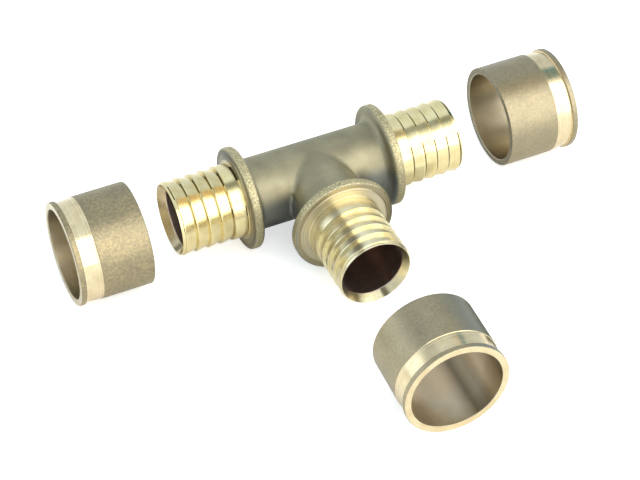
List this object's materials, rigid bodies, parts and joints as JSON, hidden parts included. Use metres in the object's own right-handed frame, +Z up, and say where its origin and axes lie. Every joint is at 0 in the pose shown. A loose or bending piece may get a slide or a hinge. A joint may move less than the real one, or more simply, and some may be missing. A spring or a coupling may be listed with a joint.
{
  "type": "press tee",
  "caption": "Brass press tee for plastic pipe: plain barrels with a round-edged collar and ringed barb at each port, and loose compression sleeves drawn off in front of the ports.",
  "frame": {"origin": "where the run axis and the branch axis cross, inside the tee", "axes": "+X along the run to the right port, -Y along the branch towards the viewer, +Z up; the tee's collars and the sleeves' rims lie on the plane z = -18.7 mm"},
  "size_m": [0.1929, 0.1367, 0.0374],
  "materials": {
    "body_brass": "satin forged, with turned barbs",
    "sleeve_brass": "rough drawn, with a turned recess and end faces"
  },
  "bodies": {
    "root": {"tee_body": "body_brass", "sleeve_left": "sleeve_brass", "sleeve_right": "sleeve_brass", "sleeve_branch": "sleeve_brass"}
  },
  "joints": []
}
